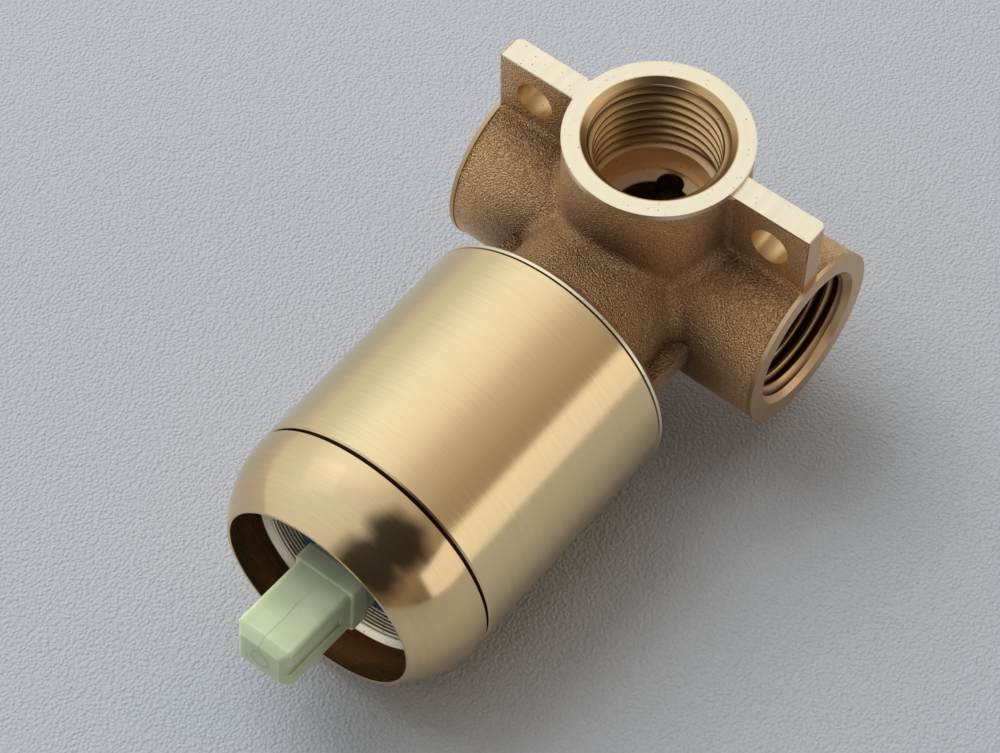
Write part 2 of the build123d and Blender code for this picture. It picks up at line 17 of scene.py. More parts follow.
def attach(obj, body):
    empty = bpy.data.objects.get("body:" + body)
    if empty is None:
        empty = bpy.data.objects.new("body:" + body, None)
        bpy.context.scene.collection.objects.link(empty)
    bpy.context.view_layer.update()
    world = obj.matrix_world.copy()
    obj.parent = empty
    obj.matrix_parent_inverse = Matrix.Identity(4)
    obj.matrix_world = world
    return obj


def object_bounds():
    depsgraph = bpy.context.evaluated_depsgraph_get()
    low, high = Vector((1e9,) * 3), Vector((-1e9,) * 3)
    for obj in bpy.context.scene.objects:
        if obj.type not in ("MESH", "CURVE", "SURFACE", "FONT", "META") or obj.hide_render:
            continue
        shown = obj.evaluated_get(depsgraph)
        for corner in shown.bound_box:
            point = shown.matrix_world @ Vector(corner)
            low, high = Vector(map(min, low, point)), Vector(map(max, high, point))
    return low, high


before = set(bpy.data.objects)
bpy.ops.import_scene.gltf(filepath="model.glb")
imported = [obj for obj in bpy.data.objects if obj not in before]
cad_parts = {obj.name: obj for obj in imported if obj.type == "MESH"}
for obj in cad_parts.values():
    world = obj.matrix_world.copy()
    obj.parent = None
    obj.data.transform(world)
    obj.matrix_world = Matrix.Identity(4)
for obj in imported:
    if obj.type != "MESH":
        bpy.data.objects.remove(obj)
cad_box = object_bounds()
mm = 0.001
print("solids:", len(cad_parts), "box in mm:", [round((b - a) / mm, 1) for a, b in zip(*cad_box)])

# %% [markdown]
# ## Where things are
# A material can only paint a turned face or a bore if it knows where that face is. On a drawing
# these are the distances from the datum, so they are written once here, in metres, and every
# material and every new piece reads the same ones.

# %% Places on the valve
outlet_axis_y = -2.65 * mm
outlet_face_z = 6.75 * mm
inlet_axis = Vector((0, -1.55 * mm, -19.65 * mm))
inlet_face_x = 27.95 * mm
hole_x = 21.1 * mm
barrel_axis_z = -19.65 * mm
thread_root = 10.48 * mm
pipe_pitch = 1.814 * mm
pipe_depth = 1.16 * mm
mouth_radius = 11.25 * mm
mouth_depth = 0.9 * mm
print("outlet axis at y", outlet_axis_y, "and barrel axis at z", barrel_axis_z)

# %% [markdown]
# ## Camera
# The photograph was taken from high on the user's right with a long lens, so the cylinder's sides
# hardly converge. The camera is given as a position and three directions, because those came
# straight from matching points of the picture to points of the part.

# %% Camera at the photograph's viewpoint
picture_right = Vector((0.784, 0.621, 0.005))
picture_down = Vector((0.519, -0.651, -0.554))
picture_depth = Vector((-0.341, 0.437, -0.832))
camera_place = Vector((151.1, -232.55, 356.85)) * mm

camera_data = bpy.data.cameras.new("camera")
camera_data.sensor_width = 36
camera_data.lens = 112.17
camera_data.clip_start = 0.01
camera_data.clip_end = 20
camera = bpy.data.objects.new("camera", camera_data)
turn = Matrix((picture_right, -picture_down, -picture_depth)).transposed().to_4x4()
camera.matrix_world = Matrix.Translation(camera_place) @ turn
bpy.context.scene.collection.objects.link(camera)
bpy.context.scene.camera = camera
print("camera is", round(camera_place.length / mm), "mm from the datum")

# %% [markdown]
# ## Helpers for node trees
# Node trees get long, and nearly every line of one is the same: add a node, set a field, fill its
# sockets. One helper does all three, and each of the others is named for what it gives, so that a
# material reads as a short recipe.

# %% Helpers: nodes
def fill(tree, node, inputs):
    """Gives sockets their values, or links other sockets to them."""
    for name, value in inputs.items():
        if isinstance(value, bpy.types.NodeSocket):
            tree.links.new(value, node.inputs[name])
        else:
            node.inputs[name].default_value = value


def add(tree, kind, inputs=None, **fields):
    """Adds a shader node, sets its fields and fills its sockets."""
    made = tree.nodes.new("ShaderNode" + kind)
    for field, value in fields.items():
        setattr(made, field, value)
    fill(tree, made, inputs or {})
    return made


def maths(tree, operation, first, second=0.0, third=0.0):
    """The result of one Math node."""
    return add(tree, "Math", {0: first, 1: second, 2: third}, operation=operation).outputs[0]


def ramp(tree, value, low, high, out_low=0.0, out_high=1.0):
    """A value taken from low..high to out_low..out_high, clamped at both ends."""
    return add(tree, "MapRange", {0: value, 1: low, 2: high, 3: out_low, 4: out_high}).outputs[0]


def blend(tree, factor, first, second):
    """Two numbers mixed by a mask."""
    return add(tree, "Mix", {0: factor, 2: first, 3: second}).outputs[0]


def mixed(tree, factor, first, second):
    """Two colours mixed by a mask."""
    return add(tree, "Mix", {0: factor, 6: first, 7: second}, data_type="RGBA").outputs[2]


def noise(tree, where, scale, detail=2.0, roughness=0.5):
    """Soft noise from 0 to 1 at a given number of lumps per metre."""
    inputs = {"Vector": where, "Scale": scale, "Detail": detail, "Roughness": roughness}
    return add(tree, "TexNoise", inputs).outputs["Fac"]


print("node helpers ready")

# %% [markdown]
# ## Helpers for places and surfaces
# Every pattern here follows the part's own coordinates, because a casting, a turned face and a
# brushed tube all have marks that belong to the metal and not to the picture.

# %% Helpers: places and surfaces
def object_places(tree):
    """Object coordinates, and their x, y and z, which are the part's own places in metres."""
    where = add(tree, "TexCoord").outputs["Object"]
    split = add(tree, "SeparateXYZ", {0: where})
    return where, split.outputs[0], split.outputs[1], split.outputs[2]


def radius_from(tree, first, second):
    """The distance from an axis, from the two coordinates across it."""
    squares = maths(tree, "MULTIPLY_ADD", first, first, maths(tree, "MULTIPLY", second, second))
    return maths(tree, "SQRT", squares)


def distance_from(tree, value, place):
    """How far a coordinate is from a place, on either side."""
    return maths(tree, "ABSOLUTE", maths(tree, "SUBTRACT", value, place))


def bumped(tree, height, strength, distance):
    """A surface normal from a height map, with its depth in metres."""
    inputs = {"Strength": strength, "Distance": distance, "Height": height}
    return add(tree, "Bump", inputs).outputs[0]


def colour(red, green, blue):
    """A colour as a picture editor shows it, 0 to 255, made linear for the shader."""
    def linear(part):
        part = part / 255
        return part / 12.92 if part <= 0.04045 else ((part + 0.055) / 1.055) ** 2.4
    return (linear(red), linear(green), linear(blue), 1.0)


def new_material(name):
    """An empty material, its tree and its Principled shader."""
    material = bpy.data.materials.new(name)
    material.use_nodes = True
    tree = material.node_tree
    tree.nodes.clear()
    shader = add(tree, "BsdfPrincipled")
    add(tree, "OutputMaterial", {0: shader.outputs[0]})
    return material, tree, shader


def dress(node, material):
    """Gives a CAD solid its finished material."""
    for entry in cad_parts[node].material_slots:
        entry.material = material
    print(node, "is", material.name)


print("surface helpers ready")

# %% [markdown]
# ## Node groups
# An effect with its own inputs is built once, as a node group, and placed in a material with that
# material's values. It gives out heights and masks, and the material decides what they do.

# %% Helpers: groups
def group(name, inputs, outputs):
    """An empty shader node group with named sockets, and its two end nodes."""
    made = bpy.data.node_groups.new(name, "ShaderNodeTree")
    for socket, kind in inputs.items():
        made.interface.new_socket(socket, in_out="INPUT", socket_type="NodeSocket" + kind)
    for socket, kind in outputs.items():
        made.interface.new_socket(socket, in_out="OUTPUT", socket_type="NodeSocket" + kind)
    start = made.nodes.new("NodeGroupInput").outputs
    return made, start, made.nodes.new("NodeGroupOutput")


def use(tree, made, inputs):
    """Places a group in a material with its own values, and gives its outputs."""
    placed = add(tree, "Group", node_tree=made)
    fill(tree, placed, inputs)
    return placed.outputs


print("group helpers ready")

# %% [markdown]
# ## Turning marks
# A lathe tool leaves fine rings as it feeds across a face. The ports' faces, their bores and the
# ears all have them. Noise along one line, the feed, gives rings of uneven strength: a fine one
# for the tool's own feed and a slow one for the drift of the cut.

# %% Group: turning marks
turning, start, end = group(
    "turning marks",
    {"Position": "Vector", "Feed": "Float", "Spacing": "Float"},
    {"Height": "Float", "Streak": "Float"},
)
rings = maths(turning, "DIVIDE", start["Feed"], start["Spacing"])
fine = add(turning, "TexNoise", {"W": rings, "Scale": 1.0, "Detail": 3.0, "Roughness": 0.7},
           noise_dimensions="1D").outputs["Fac"]
slow_rings = maths(turning, "MULTIPLY", rings, 0.13)
broad = add(turning, "TexNoise", {"W": slow_rings, "Scale": 1.0, "Detail": 2.0},
            noise_dimensions="1D").outputs["Fac"]
blotch = noise(turning, start["Position"], 260.0, 3.0)
streak = maths(turning, "MULTIPLY_ADD", broad, 0.6, maths(turning, "MULTIPLY", fine, 0.4))
streak = maths(turning, "MULTIPLY_ADD", blotch, 0.35, streak)
fill(turning, end, {"Height": fine, "Streak": streak})
print("turning marks have", len(turning.nodes), "nodes")

# %% [markdown]
# ## Sand-cast skin
# Molten brass copies the sand it is poured against, so the skin is covered with grains about a
# third of a millimetre across, and dark oxide sits between them. Round cells make the grains,
# noise of the same size makes them uneven, and a larger noise gives the swells of the mould. The
# low parts of the grain noise are the pits, which the material makes darker and duller.

# %% Group: cast skin
casting, start, end = group(
    "cast skin",
    {"Position": "Vector", "Grain": "Float"},
    {"Height": "Float", "Pits": "Float", "Mottle": "Float"},
)
grains = noise(casting, start["Position"], start["Grain"])
swells = noise(casting, start["Position"], 700.0)
cells = add(casting, "TexVoronoi", {"Vector": start["Position"], "Scale": start["Grain"]},
            feature="F1").outputs["Distance"]
height = maths(casting, "MULTIPLY_ADD", grains, 0.6, maths(casting, "SUBTRACT", 1.0, cells))
height = maths(casting, "MULTIPLY_ADD", swells, 0.5, height)
pits = ramp(casting, grains, 0.36, 0.56, 1.0, 0.0)
mottle = ramp(casting, noise(casting, start["Position"], 150.0, 3.0), 0.35, 0.65)
fill(casting, end, {"Height": height, "Pits": pits, "Mottle": mottle})
print("cast skin has", len(casting.nodes), "nodes")

# %% [markdown]
# ## The brass body: where the cutters went
# One casting carries two finishes: the sand skin, and the bright faces that were milled or turned
# afterwards. On the real part the cutter's path decides where one stops, so the material does the
# same: it asks how far each point is from each cutter's axis, and how deep that cutter went.

# %% Cut and cast places
socket_reach = 11.4 * mm
outlet_cut_z = 6.15 * mm
outlet_floor_z = -11.9 * mm
inlet_cut_x = 27.28 * mm
inlet_floor_x = 12.6 * mm
ears_cut_z = 5.74 * mm
hole_reach = 3.2 * mm
hole_back_y = -4.3 * mm
barrel_cut_y = -26.7 * mm

brass, tree, shader = new_material("cast_brass")
where, x, y, z = object_places(tree)
away_x = maths(tree, "ABSOLUTE", x)
outlet_radius = radius_from(tree, x, maths(tree, "SUBTRACT", y, outlet_axis_y))
inlet_y = maths(tree, "SUBTRACT", y, inlet_axis.y)
inlet_z = maths(tree, "SUBTRACT", z, inlet_axis.z)
inlet_radius = radius_from(tree, inlet_y, inlet_z)
hole_radius = radius_from(tree, maths(tree, "SUBTRACT", away_x, hole_x), z)


def both_of(first, second):
    """A mask of the brass where two masks meet."""
    return maths(tree, "MULTIPLY", first, second)


def either_of(first, *others):
    """A mask of the brass where any of the masks holds."""
    for other in others:
        first = maths(tree, "MAXIMUM", first, other)
    return first


def above(value, limit):
    """A mask of the brass where a value is over a limit."""
    return maths(tree, "GREATER_THAN", value, limit)


def below(value, limit):
    """A mask of the brass where a value is under a limit."""
    return maths(tree, "LESS_THAN", value, limit)


outlet_bored = both_of(below(outlet_radius, socket_reach), above(z, outlet_floor_z))
inlet_bored = both_of(below(inlet_radius, socket_reach), above(away_x, inlet_floor_x))
inlet_cut = either_of(above(away_x, inlet_cut_x), inlet_bored)
hole_drilled = both_of(below(hole_radius, hole_reach), above(y, hole_back_y))
cut = either_of(above(z, outlet_cut_z), outlet_bored, inlet_cut, above(z, ears_cut_z),
                hole_drilled, below(y, barrel_cut_y))
print("the socket cutters reach", round(socket_reach / mm, 1), "mm from their axes")

# %% [markdown]
# ## The brass body: oxide and shade
# Oxide stays where no cutter or cloth reaches, as in the corners between the arms, and the colour there
# is mostly painted shade over that oxide: ambient occlusion finds those corners, as it is low where the
# surface can hardly see out. In a socket the thread's valleys and the inlets' wall behind the thread are
# painted shade.

# %% Valleys, deep walls and corners
thread_top_z = 5.6 * mm
thread_end_z = -6.6 * mm
ledge_z = -11.2 * mm
thread_top_x = 26.9 * mm
thread_end_x = 15.4 * mm
valley_from = 9.7 * mm
valley_to = 10.3 * mm


def valley(bored, along, top, radius):
    """A mask of a thread's valleys, which lie under the top of the thread and near its root."""
    return both_of(both_of(bored, below(along, top)), ramp(tree, radius, valley_from, valley_to))


# Painted shade: the thread's valleys are painted dark brown.
valleys = either_of(
    valley(outlet_bored, z, thread_top_z, outlet_radius),
    valley(inlet_bored, away_x, thread_top_x, inlet_radius),
)
# Painted light: the outlet's wall below its thread is painted pale and made less metallic so that the
# deep bore looks lit.
outlet_deep_painted_light = both_of(outlet_bored, both_of(below(z, thread_end_z), above(z, ledge_z)))
# Painted shade: the inlets' wall deep behind the thread is painted darker.
inlet_deep_painted_shade = both_of(inlet_bored, below(away_x, thread_end_x))
# Painted light: the ledge at the bottom of the outlet is painted near white and made less metallic so
# that it looks lit.
ledge = both_of(outlet_bored, below(z, ledge_z))
# Painted shade: ambient occlusion darkens the corners between the arms, over the oxide that sits there.
seen_out = add(tree, "AmbientOcclusion", {"Distance": 14.0 * mm}, samples=2, only_local=True)
corner = ramp(tree, seen_out.outputs["AO"], 0.42, 0.99, 1.0, 0.0)
# The painted shade of the outlet's valleys and the painted light of its deep wall lie between these
# heights.
print("oxide reaches from z", ledge_z, "to", thread_top_z)

# %% [markdown]
# ## The brass body: colours
# Cast brass is warmer than cut brass, because a thin oxide tints it. The colours are laid over each
# other from the widest to the smallest, as the marks came on the real part. The outlet's wall below its
# thread and the ledge there are rough from the drill, and they carry painted light: they are painted
# pale and made only a quarter metallic so that the deep bore looks lit. Painted shade darkens the skin's
# corners, the thread's valleys and the inlets' deep wall.

# %% Material: cast and turned brass
def laid_over(base, *layers):
    """A colour with others laid over it, each where its own mask holds."""
    for mask, layer in layers:
        base = mixed(tree, mask, base, layer)
    return base


skin = use(tree, casting, {"Position": where, "Grain": 3600.0})
feed = blend(tree, inlet_cut, outlet_radius, inlet_radius)
marks = use(tree, turning, {"Position": where, "Feed": feed, "Spacing": 0.16 * mm})
streak = ramp(tree, marks["Streak"], 0.3, 0.8)
bored = either_of(hole_drilled, both_of(outlet_bored, above(z, ledge_z)))
pores = ramp(tree, noise(tree, where, 2100.0, 1.0), 0.73, 0.77)
cast_colour = laid_over(
    colour(255, 214, 164),
    (skin["Mottle"], colour(246, 198, 146)),
    (skin["Pits"], colour(204, 158, 112)),
    # painted shade in the corners between the arms, over some oxide
    (corner, colour(88, 61, 40)),
)
cut_colour = laid_over(
    colour(242, 226, 197),
    (streak, colour(247, 233, 206)),
    (inlet_cut, colour(208, 172, 130)),
    (bored, colour(214, 178, 128)),
    # painted shade on the inlets' deep wall
    (inlet_deep_painted_shade, colour(176, 130, 86)),
    # painted light on the outlet's deep wall
    (outlet_deep_painted_light, colour(250, 206, 152)),
    # painted shade in the thread's valleys
    (valleys, colour(110, 72, 42)),
    # painted light on the outlet's ledge
    (ledge, colour(255, 232, 190)),
    (pores, colour(120, 88, 58)),
)
cast_gloss = ramp(tree, skin["Pits"], 0.0, 1.0, 0.30, 0.44)
cut_gloss = ramp(tree, streak, 0.0, 1.0, 0.40, 0.30)
cut_height = maths(tree, "MULTIPLY", marks["Height"], 0.02)
fill(tree, shader, {
    "Base Color": mixed(tree, cut, cast_colour, cut_colour),
    "Roughness": blend(tree, cut, cast_gloss, cut_gloss),
    # The outlet's deep wall and ledge are made less metallic as part of their painted light.
    "Metallic": maths(tree, "MULTIPLY_ADD", either_of(ledge, outlet_deep_painted_light), -0.75, 1.0),
    "Normal": bumped(tree, blend(tree, cut, skin["Height"], cut_height), 1.0, 0.24 * mm),
})
dress("valve_body", brass)

# %% [markdown]
# ## Brushing
# The sleeve is spun against an abrasive belt before it is plated, so its scratches run round it.
# Scratches are only noise that changes fast along the axis and slowly round it: the coordinates
# are stretched before the noise reads them. A second, wider noise gives the belt's broad bands.

# %% Group: brushing
brushing, start, end = group(
    "brushing",
    {"Position": "Vector", "Feed": "Float", "Fineness": "Float"},
    {"Scratches": "Float"},
)
split = add(brushing, "SeparateXYZ", {0: start["Position"]})
along = maths(brushing, "MULTIPLY", start["Feed"], start["Fineness"])
around_x = maths(brushing, "MULTIPLY", split.outputs[0], 90.0)
around_z = maths(brushing, "MULTIPLY", split.outputs[2], 90.0)
stretched = add(brushing, "CombineXYZ", {0: around_x, 1: along, 2: around_z}).outputs[0]
fill(brushing, end, {"Scratches": noise(brushing, stretched, 1.0, 4.0, 0.65)})
print("brushing has", len(brushing.nodes), "nodes")

# %% [markdown]
# ## Sleeve, dome and ring nut
# The same recipe dresses everything that was turned and brushed. The dome's scratches follow its
# rings, so its feed is the distance along the axis less the distance from it. Its inside was never
# plated: it stays raw brass, and the spigot behind the seam is nearly black with oxide.

# %% Materials: brushed metals
spigot_y = -68.0 * mm


def unplated(tree, x, outward):
    """A mask for the inside of the dome, whose normals point at the axis."""
    normal = add(tree, "SeparateXYZ", {0: add(tree, "TexCoord").outputs["Normal"]})
    across = maths(tree, "MULTIPLY", normal.outputs[0], x)
    facing = maths(tree, "MULTIPLY_ADD", normal.outputs[2], outward, across)
    return maths(tree, "LESS_THAN", facing, -0.2 * mm)


def brushed(name, light, dark, fineness, glosses, depth, on_dome=False):
    """A metal with scratches round the barrel's axis."""
    material, tree, shader = new_material(name)
    where, x, y, z = object_places(tree)
    outward = maths(tree, "SUBTRACT", z, barrel_axis_z)
    feed = maths(tree, "SUBTRACT", y, radius_from(tree, x, outward)) if on_dome else y
    marks = use(tree, brushing, {"Position": where, "Feed": feed, "Fineness": fineness})
    scratches = marks["Scratches"]
    tint = mixed(tree, ramp(tree, scratches, 0.3, 0.7), dark, light)
    gloss = ramp(tree, scratches, 0.3, 0.7, *glosses)
    metal = 1.0
    if on_dome:
        inside = unplated(tree, x, outward)
        tint = mixed(tree, inside, tint, colour(172, 136, 90))
        tint = mixed(tree, maths(tree, "GREATER_THAN", y, spigot_y), tint, colour(52, 36, 24))
        gloss = maths(tree, "MULTIPLY_ADD", inside, 0.12, gloss)
        metal = maths(tree, "MULTIPLY_ADD", inside, -0.3, 1.0)
    fill(tree, shader, {
        "Base Color": tint,
        "Metallic": metal,
        "Roughness": gloss,
        "Normal": bumped(tree, scratches, 0.5, depth),
    })
    return material


dress("sleeve", brushed(
    "brushed_gold", colour(242, 215, 168), colour(230, 202, 154),
    fineness=6500.0, glosses=(0.14, 0.21), depth=0.018 * mm))
dress("dome_cap", brushed(
    "polished_gold", colour(236, 206, 160), colour(228, 197, 150),
    fineness=7000.0, glosses=(0.12, 0.17), depth=0.004 * mm, on_dome=True))
dress("retaining_nut", brushed(
    "turned_brass", colour(222, 190, 132), colour(190, 150, 96),
    fineness=6000.0, glosses=(0.26, 0.36), depth=0.02 * mm))
dress("pivot_pin", brushed(
    "pin_steel", colour(208, 210, 214), colour(186, 188, 194),
    fineness=5200.0, glosses=(0.24, 0.32), depth=0.004 * mm))

# %% [markdown]
# ## Marks of the mould on the stem
# Plastic enters a mould at a gate and leaves a small ring there, and the mould's two halves leave
# a fine line where they meet. The stem shows both, the ring on its end face and the line along its
# top, so the end face is looked up in the solid first and the marks are set from it.

# %% The stem's gate and parting line
gate_radius = 1.5 * mm
parting_start_z = barrel_axis_z + 2 * mm
tip_points = [vert.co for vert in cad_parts["lever_stem"].data.vertices]
tip_y = min(point.y for point in tip_points)
tip_points = [point for point in tip_points if point.y < tip_y + 0.5 * mm]
stem_tip = sum(tip_points, Vector()) / len(tip_points)


def gate_mark(tree, x, y, z):
    """A mask of the ring that the gate left on the stem's end."""
    off_x = maths(tree, "SUBTRACT", x, stem_tip.x)
    off_z = maths(tree, "SUBTRACT", z, stem_tip.z)
    off_ring = distance_from(tree, radius_from(tree, off_x, off_z), gate_radius)
    ring = ramp(tree, off_ring, 0.05 * mm, 0.35 * mm, 1.0, 0.0)
    at_end = maths(tree, "LESS_THAN", y, stem_tip.y + 0.8 * mm)
    return maths(tree, "MULTIPLY", ring, at_end)


def parting_line(tree, where, x, y, z):
    """A mask of the line along the stem's top, which wanders a little and fades at the collar."""
    wander = ramp(tree, noise(tree, where, 160.0, 1.0), 0.2, 0.8, -0.2 * mm, 0.3 * mm)
    line = ramp(tree, distance_from(tree, x, wander), 0.03 * mm, 0.10 * mm, 1.0, 0.0)
    line = maths(tree, "MULTIPLY", line, maths(tree, "GREATER_THAN", z, parting_start_z))
    return maths(tree, "MULTIPLY", line, ramp(tree, y, -84.0 * mm, -79.0 * mm, 1.0, 0.0))


print("the stem's end face is centred on", [round(part / mm, 1) for part in stem_tip])

# %% [markdown]
# ## Moulded plastic, ceramic and rubber
# The cartridge's parts are moulded. Light goes a little way into them, which is what makes the
# stem look like jade, so they get subsurface scattering, a faint cloudiness where the melt flowed,
# and the very fine texture of an eroded mould. Only the stem is seen near enough to need its
# mould's marks.

# %% Materials: plastics, ceramic and rubber
def moulded(name, light, dark, gloss, glow, depth, reach=1.2 * mm, marked=False):
    """A moulded material with cloudy colour, fine texture and some light inside it."""
    material, tree, shader = new_material(name)
    where, x, y, z = object_places(tree)
    clouds = ramp(tree, noise(tree, where, 180.0, 3.0), 0.35, 0.65)
    tint = mixed(tree, clouds, light, dark)
    texture = noise(tree, where, 6000.0)
    height = texture
    if marked:
        gate = gate_mark(tree, x, y, z)
        parting = parting_line(tree, where, x, y, z)
        dirt = maths(tree, "MAXIMUM", maths(tree, "MULTIPLY", parting, 0.35),
                     maths(tree, "MULTIPLY", gate, 0.22))
        tint = mixed(tree, dirt, tint, colour(120, 128, 96))
        height = maths(tree, "MULTIPLY_ADD", gate, 12.0, height)
        height = maths(tree, "MULTIPLY_ADD", parting, -8.0, height)
    fill(tree, shader, {
        "Base Color": tint,
        "Roughness": ramp(tree, texture, 0.3, 0.7, gloss - 0.04, gloss + 0.05),
        "Normal": bumped(tree, height, 0.4, depth),
        "Subsurface Weight": glow,
        "Subsurface Radius": (1.0, 1.0, 0.7),
        "Subsurface Scale": reach,
    })
    return material


dress("lever_stem", moulded(
    "jade_plastic", colour(214, 221, 188), colour(198, 208, 170),
    gloss=0.38, glow=0.95, depth=0.02 * mm, reach=2.0 * mm, marked=True))
blue = moulded(
    "blue_plastic", colour(24, 78, 138), colour(16, 62, 116), gloss=0.4, glow=0.1, depth=0.01 * mm)
white = moulded(
    "white_plastic", colour(226, 226, 218), colour(214, 214, 206), gloss=0.42, glow=0.4, depth=0.01 * mm)
slippery = moulded(
    "ptfe", colour(236, 236, 232), colour(226, 226, 222), gloss=0.34, glow=0.4, depth=0.005 * mm)
ceramic = moulded(
    "ceramic", colour(238, 234, 222), colour(230, 226, 214), gloss=0.18, glow=0.2, depth=0.002 * mm)
rubber = moulded(
    "rubber", colour(30, 30, 31), colour(22, 22, 23), gloss=0.6, glow=0.0, depth=0.02 * mm)
print("moulded materials:", [made.name for made in (blue, white, slippery, ceramic, rubber)])

# %% [markdown]
# ## The cartridge
# Most of the cartridge is hidden behind the dome. It is still dressed, piece by piece, so that the
# part looks right in any other picture, with the cap off or cut in half.

# %% Dress the cartridge
cartridge = {
    "cartridge_housing": blue,
    "stem_carrier": blue,
    "cartridge_base": white,
    "disc_driver": white,
    "fixed_disc": ceramic,
    "moving_disc": ceramic,
    "glide_ring": slippery,
    "sleeve_o_ring": rubber,
    "dome_o_ring": rubber,
    "carrier_o_ring": rubber,
    "disc_gasket": rubber,
    "hot_port_seal": rubber,
    "cold_port_seal": rubber,
    "outlet_port_seal": rubber,
}
for node, material in cartridge.items():
    dress(node, material)

# %% [markdown]
# ## Screw threads
# A thread is one ridge wound round a bore. It could be rings, but a helix is what a tap cuts and
# what the eye reads at the thread's start, so the ridge's section is drawn once and spun, with a
# step along the axis for each step round it. The countersink at the mouth cuts the first turns
# away to its own cone, and the last turn fades into the wall as the tap's lead leaves it.

# %% Thread maker
def ridge(root, depth, pitch, turns, steps, flat, mouth):
    """A helical ridge on the inside of a bore, climbing along +Z from z = 0.

    Flat is the width of the crest, as a share of the pitch. The mouth is the countersink: its
    radius at z = 0, and how fast it narrows with z. The ridge's back is buried in the wall, and
    what the countersink would leave in the air is buried with it. A wound ridge can come out
    inside out even after its normals are recalculated, so the sign of its volume is looked at.
    """
    bm = bmesh.new()
    crest = root - depth
    back = root + 0.12 * depth
    # Half of the section, from the buried back to the crest: radius, and height off the middle
    half = [
        (back, 0.47 * pitch),
        (root - 0.1 * depth, 0.36 * pitch),
        (crest + 0.1 * depth, flat * pitch),
        (crest, 0.5 * flat * pitch),
    ]
    section = [(radius, -height) for radius, height in half] + half[::-1]
    ring = [bm.verts.new((radius, 0, height)) for radius, height in section]
    edges = [bm.edges.new((ring[i - 1], ring[i])) for i in range(len(ring))]
    count = round(steps * turns)
    bmesh.ops.spin(bm, geom=ring + edges, cent=(0, 0, 0), axis=(0, 0, 1), dvec=(0, 0, pitch / steps),
                   angle=2 * pi * count / steps, steps=count, use_merge=False, use_duplicate=False)
    bm.verts.ensure_lookup_table()
    fading_steps = 24
    mouth_start, narrowing = mouth
    for index, vert in enumerate(bm.verts):
        keep = min(1.0, (count - index // len(section)) / fading_steps)
        radius = vert.co.xy.length
        wanted = back - (back - radius) * keep
        countersunk = mouth_start - narrowing * vert.co.z
        if countersunk > root:
            countersunk += back - root
        vert.co.xy *= max(wanted, countersunk) / radius
    bmesh.ops.holes_fill(bm, edges=[edge for edge in bm.edges if edge.is_boundary], sides=0)
    bmesh.ops.recalc_face_normals(bm, faces=bm.faces[:])
    if bm.calc_volume(signed=True) < 0:
        bmesh.ops.reverse_faces(bm, faces=bm.faces[:])
    for face in bm.faces:
        face.smooth = True
    return bm


def brass_thread(name, bm, place):
    """Puts a thread in place, as a piece of the brass body whose object stays at the origin."""
    bmesh.ops.transform(bm, matrix=place, verts=bm.verts[:])
    mesh = bpy.data.meshes.new(name)
    bm.to_mesh(mesh)
    bm.free()
    mesh.materials.append(brass)
    piece = bpy.data.objects.new(name, mesh)
    bpy.context.scene.collection.objects.link(piece)
    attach(piece, "root")
    print(name, "has", len(mesh.polygons), "faces")


print("thread maker ready")

# %% [markdown]
# ## The pipe threads
# All three ports have the same half-inch pipe thread. Each starts where its countersink ends and
# runs inwards, so each is turned from +Z to point into its own bore.

# %% Threads in the three ports
# The outlet's crests lie where the photograph shows them when the start is turned by this much
outlet_start_angle = 2 * pi * 0.4 * mm / pipe_pitch


def pipe_thread(turns):
    """The ridge of a half-inch pipe thread."""
    mouth = (thread_root, (mouth_radius - thread_root) / mouth_depth)
    return ridge(thread_root, pipe_depth, pipe_pitch, turns, steps=72, flat=0.15, mouth=mouth)


outlet_start = Matrix.Translation((0, outlet_axis_y, outlet_face_z - mouth_depth))
down = Matrix.Rotation(pi, 4, "X") @ Matrix.Rotation(outlet_start_angle, 4, "Z")
brass_thread("outlet_thread", pipe_thread(6.78), outlet_start @ down)
for side, name in ((1, "cold_inlet_thread"), (-1, "hot_inlet_thread")):
    inlet_start = Matrix.Translation((side * (inlet_face_x - mouth_depth), inlet_axis.y, inlet_axis.z))
    inwards = Matrix.Rotation(-side * pi / 2, 4, "Y")
    brass_thread(name, pipe_thread(6.8), inlet_start @ inwards)

# %% [markdown]
# ## The nose thread
# The barrel's front lip has a fine thread inside for the ring nut. It is what glints round the
# stem in the dome's mouth, so it gets more steps round it than the pipe threads have.

# %% Thread in the barrel's lip
nose_y = -73.1 * mm
nose_root = 14.5 * mm
nose_depth = 0.32 * mm
nose_pitch = 0.5 * mm
nose_mouth = (14.6 * mm, 1.0)
nose_start = Matrix.Translation((0, nose_y, barrel_axis_z))
backwards = Matrix.Rotation(-pi / 2, 4, "X")
nose_ridge = ridge(nose_root, nose_depth, nose_pitch, turns=7.6, steps=96, flat=0.16, mouth=nose_mouth)
brass_thread("nose_thread", nose_ridge, nose_start @ backwards)

# %% [markdown]
# ## Table top
# The photograph has a pale grey table with a fine leathery grain. Leather grain is small pebbles
# with uneven tops, so it is cells with noise added, and the low parts are a shade darker.

# %% Table
table_radius = 1.6
table_centre = Vector((0, -0.03, cad_box[0][2] - 0.1 * mm))
table_bm = bmesh.new()
bmesh.ops.create_circle(table_bm, cap_ends=True, cap_tris=False, segments=96, radius=table_radius)
bmesh.ops.transform(table_bm, matrix=Matrix.Translation(table_centre), verts=table_bm.verts[:])
table_mesh = bpy.data.meshes.new("table")
table_bm.to_mesh(table_mesh)
table_bm.free()
table = bpy.data.objects.new("table", table_mesh)
bpy.context.scene.collection.objects.link(table)

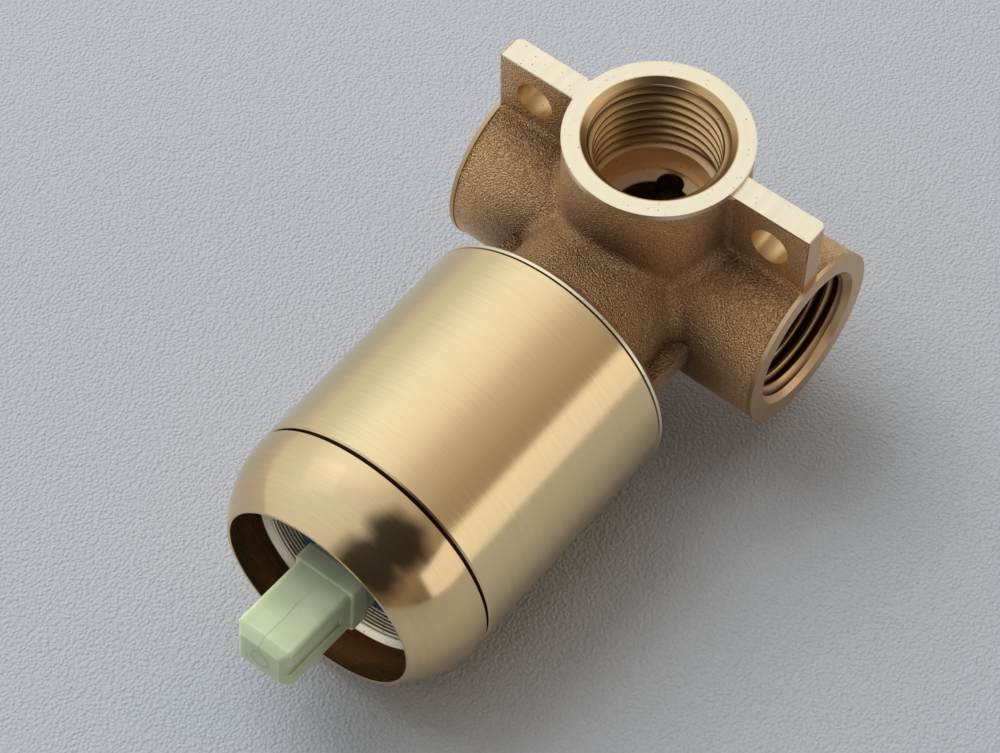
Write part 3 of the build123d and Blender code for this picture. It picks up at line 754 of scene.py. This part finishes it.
grey, tree, shader = new_material("table_grey")
where = object_places(tree)[0]
pebbles = add(tree, "TexVoronoi", {"Vector": where, "Scale": 1800.0}, feature="F1").outputs["Distance"]
tops = noise(tree, where, 2600.0, 2.0, 0.6)
leather = maths(tree, "MULTIPLY_ADD", tops, 0.7, maths(tree, "SUBTRACT", 0.6, pebbles))
worn = ramp(tree, leather, 0.3, 0.8)
fill(tree, shader, {
    "Base Color": mixed(tree, worn, colour(185, 186, 190), colour(191, 192, 196)),
    "Roughness": 0.62,
    "Normal": bumped(tree, leather, 1.0, 0.22 * mm),
})
table_mesh.materials.append(grey)
print("table is at z", round(cad_box[0][2] / mm, 2), "mm")

# %% [markdown]
# ## Lamps
# The photograph's light comes from a window on the left and from a long soft strip low on the
# right. The room below gives most of the reflections, so the lamps add little to them: a small
# key, and the strip that draws the bright line along the sleeve. The third lamp is the window's
# own light on the table and the plastic. No metal shows it, because metal shows the room's window
# instead, and it is what makes the valve's shadow deep.

# %% Lights
def softbox(name, direction, distance, width, height, radiance, tint, mirrored=True):
    """A rectangular lamp that faces the valve, with its brightness given as radiance.

    A lamp that is not mirrored lights the table and the plastic, but no metal shows it.
    """
    lamp = bpy.data.lights.new(name, "AREA")
    lamp.shape = "RECTANGLE"
    lamp.size = width
    lamp.size_y = height
    lamp.energy = radiance * pi * width * height
    lamp.color = tint
    holder = bpy.data.objects.new(name, lamp)
    aim = Vector((0, -0.035, -0.015))
    way = Vector(direction).normalized()
    facing = way.to_track_quat("Z", "Y").to_matrix().to_4x4()
    holder.matrix_world = Matrix.Translation(aim + way * distance) @ facing
    holder.visible_glossy = mirrored
    bpy.context.scene.collection.objects.link(holder)
    print(name, "gives", round(lamp.energy, 2), "W")


softbox("key", direction=(-0.66, -0.10, 0.74), distance=1.2, width=0.6, height=0.6,
        radiance=0.12, tint=(0.96, 0.99, 1.0))
softbox("window_light", direction=(-0.62, 0.10, 0.78), distance=1.2, width=1.0, height=1.0,
        radiance=2.8, tint=(0.97, 0.99, 1.0), mirrored=False)
softbox("strip", direction=(0.88, 0.36, 0.22), distance=1.1, width=1.7, height=0.52,
        radiance=0.80, tint=(0.93, 0.98, 1.0))

# %% [markdown]
# ## The room
# Polished metal shows the whole room, so the room needs a form of its own: cool and bright on the
# window side, warm and dim on the other, a pale patch of ceiling behind, and dark in the two
# directions where the photographer and the camera stand. All of these are directions in the room
# and not places in the picture, so they stay put when the camera moves. The camera itself sees a
# plain pale backdrop.

# %% Room
window_side = (-0.70, -0.15, 0.68)
ceiling_patch = (-0.42, 0.44, 0.79)
photographer = (0.60, -0.22, 0.77)
tripod = (0.42, -0.76, 0.50)

world = bpy.data.worlds.new("room")
world.use_nodes = True
bpy.context.scene.world = world
tree = world.node_tree
tree.nodes.clear()
direction = add(tree, "TexCoord").outputs["Generated"]


def nearness(target):
    """How near each direction of the room is to a target: 1 at the target, 0 at a right angle."""
    inputs = {0: direction, 1: Vector(target).normalized()}
    return add(tree, "VectorMath", inputs, operation="DOT_PRODUCT").outputs["Value"]


closeness = maths(tree, "MAXIMUM", nearness(photographer), nearness(tripod))
uneven = ramp(tree, noise(tree, direction, 3.5, 3.0), 0.3, 0.7, -0.025, 0.03)
lit = ramp(tree, maths(tree, "ADD", closeness, uneven), 0.84, 0.95, 1.0, 0.07)
window = nearness(window_side)
window_level = ramp(tree, window, -0.6, 1.0, 0.18, 0.98)
ceiling_level = ramp(tree, nearness(ceiling_patch), 0.80, 0.98, 0.0, 0.30)
room_level = maths(tree, "MULTIPLY", maths(tree, "ADD", window_level, ceiling_level), lit)
coolness = ramp(tree, window, -0.3, 0.9)
room_colour = mixed(tree, coolness, colour(255, 234, 204), colour(238, 248, 255))
room = add(tree, "Background", {"Color": room_colour, "Strength": room_level}).outputs[0]
backdrop = add(tree, "Background", {"Color": colour(214, 216, 220), "Strength": 0.8}).outputs[0]
to_camera = add(tree, "LightPath").outputs["Is Camera Ray"]
picked = add(tree, "MixShader", {0: to_camera, 1: room, 2: backdrop}).outputs[0]
add(tree, "OutputWorld", {0: picked})
print("the room has", len(tree.nodes), "nodes")

# %% [markdown]
# ## Look settings
# Standard view transform shows colours as they are written.

# %% Finish
bpy.context.scene.view_settings.view_transform = "Standard"
